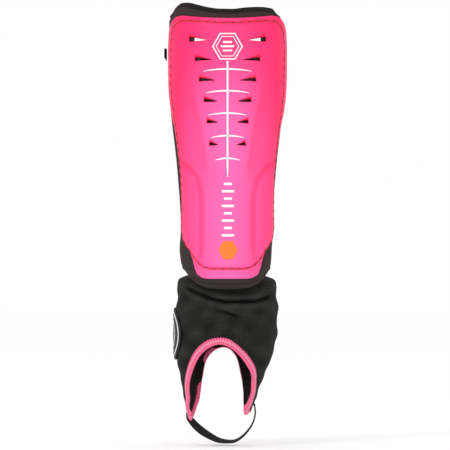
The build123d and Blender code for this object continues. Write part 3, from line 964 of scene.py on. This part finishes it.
def patch_piece(name, y_front, y_rear, low, high, outer, inner, body, node, ring):
    """A thin tape patch on the left wing."""
    first, last = angle_at(y_rear, -1), angle_at(y_front, -1)
    angle, z = np.meshgrid(np.linspace(first, last, 16), np.linspace(low, high, 12))
    if ring:
        outer, inner = (strap_ring(angle, z, depth, 0) for depth in (outer, inner))
    else:
        outer, inner = (round_shin(angle, z, depth) for depth in (outer, inner))
    piece = slab(name, outer, inner, TAPE)
    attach(piece, body)
    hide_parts(node)


def make_strap():
    band = strap_piece("strap_band", angle_at(-7.5, 1), angle_at(30, -1), 110)
    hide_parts("calf_strap", "strap_anchor")
    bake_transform(band)
    end = strap_piece("strap_end_band", angle_at(30, -1), angle_at(-9, -1), 46)
    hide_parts("strap_end")
    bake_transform(end)
    patch_piece("loop_tape", -9, 12.5, 204.5, 229.5, 2.05, 2.65, "guard", "loop_patch", ring=False)
    patch_piece("hook_tape", -8, 11.5, 205, 229, 1.15, 1.75, "strap_end", "hook_patch", ring=True)
    make_tab()
    box = [(-4.5, 206.5), (10.5, 206.5), (10.5, 227.5), (-4.5, 227.5),
           (-4.5, 206.5), (10.5, 227.5), (10.5, 206.5), (-4.5, 227.5)]
    sewn_box("anchor_threads", box, 1, "guard", "anchor_stitches")
    rows = [(-7, 206.4), (10, 206.4), (10, 212.9), (-7, 212.9)]
    sewn_box("strap_end_threads", rows, -1, "strap_end", "strap_end_stitches")


def sewn_box(name, corners, side, body, node):
    """Threads along straight lines sewn on the strap, from (y, z) corners."""
    runs = []
    for (y0, z0), (y1, z1) in zip(corners, corners[1:]):
        count = max(2, round(math.hypot(y1 - y0, z1 - z0) / 2.6))
        for number in range(count):
            ends = []
            for share in ((number + 0.12) / count, (number + 0.88) / count):
                y, z = y0 + (y1 - y0) * share, z0 + (z1 - z0) * share
                ends.append(strap_ring(np.array(angle_at(y, side)), np.array(z), STRAP_OUT - 0.22))
            runs.append((ends[0], ends[1], np.array([float(side), 0, 0])))
    piece = thread_runs(name, runs, 0.26, BLACK_THREAD)
    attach(piece, body)
    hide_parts(node)


def make_tab():
    """The moulded pull tab, ribbed for a finger, standing off the strap's end."""
    length = 11.6
    u, v = pairs(np.linspace(0, 1, 26), np.linspace(0, 1, 14))
    y = 9.0 - length * u
    x = -61.65 - 0.25 * u - 2.6 * np.clip(u - 0.35, 0, 1) ** 1.3
    low, high = 218.6 + 2.8 * u, 231.4 + 0.1 * u
    z = low + v * (high - low)
    edge = np.minimum(np.minimum(u * length, (1 - u) * length), np.minimum(v, 1 - v) * 12)
    half = 0.62 * rounded(edge, 1.2, 0.03)
    rib = 0.22 * (0.5 + 0.5 * np.sin(u * 34)) * soft(u, 0.4, 0.5) * soft(edge, 0.8, 1.6)
    piece = slab("tab", np.stack([x - half - rib, y, z], -1), np.stack([x + half, y, z], -1), RUBBER)
    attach(piece, "strap_end")
    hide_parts("pull_tab")


# ---- ankle sock ---------------------------------------------------------------------
def sock_folds(x, y, z):
    """Gathers under the liner's tongue, a few small creases and slow waves in the knit."""
    front = soft(-y, 2, 22)
    line = np.interp(x, [-44, -36, -17, -3, 28, 36, 44], [-8, -12, -20, -23, -23, -20.5, -17])
    fold = -3.8 * bump_at(z, line, 1.7) + 1.3 * bump_at(z, line + 4.4, 2.6)
    fold = fold + 1.5 * bump_at(z, line - 4.8, 3.2)
    small = np.interp(x, [-12, -4, 10, 16], [-31.5, -33, -37.5, -38.5])
    nip = -2.4 * bump_at(z, small, 1.2) * bump_at(x, 2.5, 8)
    nip = nip + 1.2 * bump_at(z, small + 3, 2) * bump_at(x, 2.5, 10)
    wave = 0.35 * np.sin(x * 0.16 + z * 0.23) + 0.28 * np.sin(x * 0.31 - z * 0.19 + 1.3)
    wave = wave + 0.22 * np.sin(z * 0.41 + y * 0.2)
    sides = 1.0 * np.sin((z + 13) * 0.24) * soft(np.abs(x), 30, 46) * soft(z, -66, -20)
    arch = 0.5 * np.sin(np.arctan2(z + 100, x + 8) * 13) * bump_at(np.hypot(x + 8, z + 98), 44, 8) * front
    return front * (fold * soft(44 - np.abs(x), 0, 8) + nip) + wave * soft(-z, 4, 20) + sides + arch


def sock_point(angle, z, proud):
    """Points on the sock: full round the ankle, and tucked inside the liner in front above its tongue."""
    centre, a, b = (column(ANKLE, n, z) for n in (1, 2, 3))
    turn = np.abs(angle)
    edge = liner_bottom(centre + a * np.sin(angle))
    tuck = (1 - soft(turn, math.radians(84), math.radians(104))) * soft(z, edge - 9.5, edge - 1.0)
    a, b = a + (34.6 - a) * tuck, b + (38.8 - b) * tuck
    x, y = centre + a * np.sin(angle), -b * np.cos(angle)
    fold = sock_folds(x, y, z) * (1 - tuck)
    out = unit(np.stack([np.sin(angle) / a, -np.cos(angle) / b, 0 * z], -1))
    return np.stack([x, y, z], -1) + out * (fold + proud)[..., None]


def leg_tip(tip, lift):
    """The outline, (y, z), below a leg of the sock, with its tip lifted."""
    raised = tip + np.stack([0 * tip[:, 0], lift * (1 - (tip[:, 0] / 34) ** 2)], -1)
    return np.concatenate([[(60, -80), (34, -105.9)], raised, [(-60, -80), (-60, -200), (60, -200)]])


def arch_outline(edge, grow):
    """The opening inside a bound edge, closed far below, grown sideways by one or many distances."""
    line = smooth_line(edge, ARCH_POINTS)
    ahead = unit(np.gradient(line, axis=0))
    beside = np.stack([-ahead[:, 1], ahead[:, 0]], -1)
    moved = line + beside * np.broadcast_to(grow, ARCH_POINTS)[:, None]
    return np.concatenate([moved, [(moved[-1][0], -200), (moved[0][0], -200)]])


def make_sock():
    angle = np.linspace(-math.pi, math.pi, 201)[:-1][None]
    turn = np.abs(angle)
    front = 1 - soft(turn, math.radians(76), math.radians(100))
    top = 9.6 * front + (1 - front) * (-1.4 + 7.0 * soft(turn, math.radians(100), math.pi))
    z = top + (SOCK_LOW - top) * np.linspace(0, 1, 112)[:, None]
    hem = 0.5 * (1 - front) * (1 - soft(top - z, 5.6, 6.6)) - 0.35 * (1 - front) * bump_at(top - z, 7.0, 0.7)
    outer, inner = (sock_point(angle + 0 * z, z, proud) for proud in (hem, -1.7 + 0 * z))
    piece = slab("sock", outer, inner, KNIT, closed=True)
    tip = smooth_line([(34, -106), (29, -119), (18, -131), (6, -138), (0, -139.5), (-6, -137), (-12, -129),
                       (-19, -117), (-26, -106)], 50)
    heel_x, heel_z = smooth_line(HEEL_EDGE, ARCH_POINTS).T
    bare = np.maximum((1 - soft(heel_x, -17, -12)) * soft(heel_z, -87, -82),
                      (1 - soft(heel_x, -22, -18)) * (1 - soft(heel_z, -109, -104)))
    cut(piece, [
        prism(arch_outline(FOOT_EDGE, 1.0), "Y", -90, 0.01),
        prism(arch_outline(HEEL_EDGE, -2.6 + 3.6 * bare), "Y", -0.01, 90),
        prism(leg_tip(tip, 0), "X", -90, -8),
        prism(leg_tip(tip, 4.6), "X", -8, 90),
    ])
    x, y, z = place_mm(piece).T
    # painted shade in the knit's folds and painted highlight on their ridges, stored for the knit's colour
    mark(piece, "crease", np.clip(sock_folds(x, y, z) * soft(-y, 2, 22) / 1.8, -1, 1))
    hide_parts("sock_front_panel", "sock_rear_panel", "sock_gather")
    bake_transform(piece)


def binding_path(edge, side):
    """A bound edge in space, run on to the tip of each leg, and the way out from the knit along it."""
    line = smooth_line(edge, 31)
    points, normals = ankle_point(line[:, 0], line[:, 1], side, -0.9 if side < 0 else 0.5)
    points = points + normals * sock_folds(*points.T)[:, None]
    tips = np.array([(-38.9, side * 0.9, -140.2, -0.8, 0, -0.6), (21.4, side * 0.9, -134.4, 0.7, 0, -0.7)])
    line = smooth_line(np.concatenate([tips[:1], np.column_stack([points, normals]), tips[1:]]), 420)
    return line[:, :3], unit(line[:, 3:])


def make_binding(name, edge, side, node):
    """A folded elastic edge with a zigzag seam along its middle."""
    path, out = binding_path(edge, side)
    ahead = unit(np.gradient(path, axis=0))
    across = unit(np.cross(ahead, out))
    out = np.cross(across, ahead)
    run = steps_along(path)
    ribs = 1 + 0.085 * np.sin(run * 2 * math.pi / RIB_PITCH)
    ends = rounded(np.minimum(run, run[-1] - run), 2.2, 0.04)
    profile = oval_profile(3.7, 1.55, 18, 2.7)[None] * (ribs * ends)[:, None, None]
    band = sweep(name, path, across, out, profile, BINDING)
    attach(band, "ankle_sock")
    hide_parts(node)
    count = int(run[-1] / ZIGZAG_STEP)
    at = np.linspace(1.5, run[-1] - 1.5, count)
    swing = 1.15 * np.where(np.arange(count) % 2, 1, -1)[:, None]
    over = resample(at, run, out)
    line = resample(at, run, path) + resample(at, run, across) * swing + over * 1.6
    fine, corners = np.linspace(0, count - 1, count * 3), np.arange(count)
    line, over = resample(fine, corners, line), resample(fine, corners, over)
    beside = unit(np.cross(unit(np.gradient(line, axis=0)), over))
    seam = sweep(name + "_zigzag", line, beside, over, oval_profile(0.3, 0.26, 5), ZIGZAG)
    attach(seam, "ankle_sock")


BONE_Y, BONE_Z = 4.0, -56.0


def bone_point(radius, turn, side, proud):
    """Points on the side of the ankle, in rings round the ankle bone."""
    y, z = BONE_Y + radius * np.cos(turn), BONE_Z + radius * np.sin(turn)
    centre, a, b = (column(ANKLE, n, z) for n in (1, 2, 3))
    reach = np.sqrt(np.clip(1 - (y / b) ** 2, 0, 1))
    out = unit(np.stack([side * reach / a, y / b**2, 0 * z], -1))
    return np.stack([centre + side * a * reach, y, z], -1) + out * np.asarray(proud)[..., None], out


def round_piece(name, radius, side, low, high, edge, material, node, ridges=0.0):
    """A disc or pad that lies round the ankle bone, with a rounded rim."""
    rim = np.array([0, 0.2, 0.6, 1.2, 2.0])[::-1] * edge / 2
    r = np.concatenate([np.linspace(0.05, radius - edge, 18)[:-1], radius - rim])
    r, turn = pairs(r, np.linspace(0, 2 * math.pi, 73)[:-1])
    fall = rounded(radius - r, edge, 0.03)
    ridge = ridges * (bump_at(r, radius * 0.78, 1.6) - bump_at(r, radius * 0.5, 2.2))
    middle, half = (low + high) / 2, (high - low) / 2
    outer = bone_point(r, turn, side, middle + half * fall + ridge)[0]
    inner = bone_point(r, turn, side, middle - half * fall)[0]
    piece = slab(name, outer, inner, material, closed=True, run=outer[..., 1:])
    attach(piece, "ankle_sock")
    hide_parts(node)
    return piece


def ring_piece(name, radius, width, proud, node):
    turn = np.linspace(0, 2 * math.pi, 145)[:-1]
    path, out = bone_point(np.full_like(turn, radius), turn, -1, np.full_like(turn, proud))
    ahead = unit(np.roll(path, -1, 0) - np.roll(path, 1, 0))
    across = unit(np.cross(ahead, out))
    piece = sweep(name, path, across, out, oval_profile(width / 2, 0.28, 8), WHITE, closed=True)
    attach(piece, "ankle_sock")
    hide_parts(node)


def make_ankle():
    round_piece("ankle_disc", 26.5, -1, 0.1, 2.5, 2.4, DISC, "ankle_disc_cover", 0.35)
    ring_piece("disc_ring_outer", 23.8, 1.6, 2.62, "ankle_disc_outer_ring")
    ring_piece("disc_ring_inner", 15.4, 1.2, 2.6, "ankle_disc_inner_ring")
    for name, side in (("left", -1), ("right", 1)):
        node = f"{name}_ankle_pad"
        pad = round_piece(f"{name}_pad", 22.0, side, -7.1, -2.1, 3.4, LINING, node)
        x, y, z = place_mm(pad).T
        centre, a, b = (column(ANKLE, n, z) for n in (1, 2, 3))
        against_knit = np.hypot((x - centre) / (a - 3.4), y / (b - 3.4)) > 1
        swell(pad, against_knit, 1.0)


# ---- stirrup ------------------------------------------------------------------------
# the band's middle (x, z), how far it turns its face to the front, and its width
STIRRUP = [
    (-39.4, -127, 0, 9), (-39.9, -135, 14, 9.4), (-36.6, -143.4, 36, 10), (-28.6, -151.8, 44, 10),
    (-16.5, -159.8, 36, 9.8), (-4, -164.2, 20, 9.6), (8.6, -163.6, 10, 9.4), (19.6, -154.8, 4, 9.4),
    (26.6, -143, 0, 9.4), (28, -135, 0, 9.6), (26.6, -126, 0, 10),
]


def bend_at_tips(piece):
    """The band is sewn to the legs of the sock; its placing is baked into its mesh, and it stays as drawn."""
    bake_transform(piece)


def make_stirrup():
    line = smooth_line(STIRRUP, 170)
    path = np.stack([line[:, 0], 0 * line[:, 0], line[:, 1]], -1)
    ahead = unit(np.gradient(path, axis=0))
    level = np.array([0.0, 1.0, 0.0])
    out = unit(np.cross(ahead, level))
    lean = np.radians(line[:, 2])[:, None]
    across = level * np.cos(lean) + out * np.sin(lean)
    normal = np.cross(ahead, across)
    shape = oval_profile(1.0, 0.8, 20, 5)
    profile = shape[None] * np.stack([line[:, 3] / 2, np.ones(len(line))], -1)[:, None]
    band = sweep("stirrup_webbing", path, across, normal, profile, WEBBING)
    bend_at_tips(band)
    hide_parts("stirrup_band")
    runs = []
    step, outward = 0.9, np.array([1.0, 0.0, 0.0])
    for x, lows in ((-38.4, (-128.6, -131.2)), (28.05, (-127.6, -130.2))):
        for low in lows:
            for number in range(8):
                y = -3.6 + number * step
                runs.append((np.array([x, y, low - 0.5]), np.array([x, y + step, low + 0.5]), outward))
    tacks = thread_runs("stirrup_tack_threads", runs, 0.22, BLACK_THREAD)
    bend_at_tips(tacks)
    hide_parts("stirrup_tacks")


# ---- room, lights and camera --------------------------------------------------------
def make_room():
    size, below = 6.0, 0.002
    floor = bpy.data.objects.new("floor", bpy.data.meshes.new("floor"))
    corners = [(-size, -size, 0), (size, -size, 0), (size, size, 0), (-size, size, 0)]
    floor.data.from_pydata(corners, [], [(0, 1, 2, 3)])
    floor.data.materials.append(floor_look())
    floor.location.z = cad_box[0].z - below
    scene.collection.objects.link(floor)
    world = bpy.data.worlds.new("studio")
    world.use_nodes = True
    world.node_tree.nodes["Background"].inputs["Color"].default_value = (1, 1, 1, 1)
    world.node_tree.nodes["Background"].inputs["Strength"].default_value = 1.0
    scene.world = world
    scene.view_settings.view_transform = "Standard"


def add_light(name, place, target, size, power):
    light = bpy.data.lights.new(name, "AREA")
    light.shape = "RECTANGLE"
    light.size, light.size_y = size
    light.energy = power
    lamp = bpy.data.objects.new(name, light)
    lamp.location = place
    aim(lamp, target)
    scene.collection.objects.link(lamp)


def aim(thing, target):
    direction = Vector(target) - thing.location
    thing.rotation_euler = direction.to_track_quat("-Z", "Y").to_euler()


def make_camera():
    """A long lens straight in front, framing the guard from its top edge to the stirrup."""
    low, high = cad_box
    distance, face, seen, sensor = 4.0, 0.03, 0.450, 36
    middle = ((low.x + high.x) / 2 - 0.0002, (low.z + high.z) / 2 + 0.0006)
    data = bpy.data.cameras.new("camera")
    data.sensor_width = sensor
    data.lens = sensor * (distance - face) / seen
    camera = bpy.data.objects.new("camera", data)
    camera.location = (middle[0], -distance, middle[1])
    camera.rotation_euler = (math.pi / 2, 0, 0)
    scene.collection.objects.link(camera)
    scene.camera = camera


make_camera()
make_room()
add_light("key", (-1.5, -1.7, 1.5), (0, 0, 0.06), (0.9, 0.9), 13)
add_light("fill", (0.9, -2.2, 0.3), (0, 0, 0.06), (1.2, 1.2), 4)
make_shell()
make_shell_seam()
make_prints()
make_foam()
make_strap()
make_sock()
make_binding("foot_binding", FOOT_EDGE, -1, "foot_opening_binding")
make_binding("heel_binding", HEEL_EDGE, 1, "heel_opening_binding")
make_ankle()
make_stirrup()

bpy.data.materials.remove(blank)
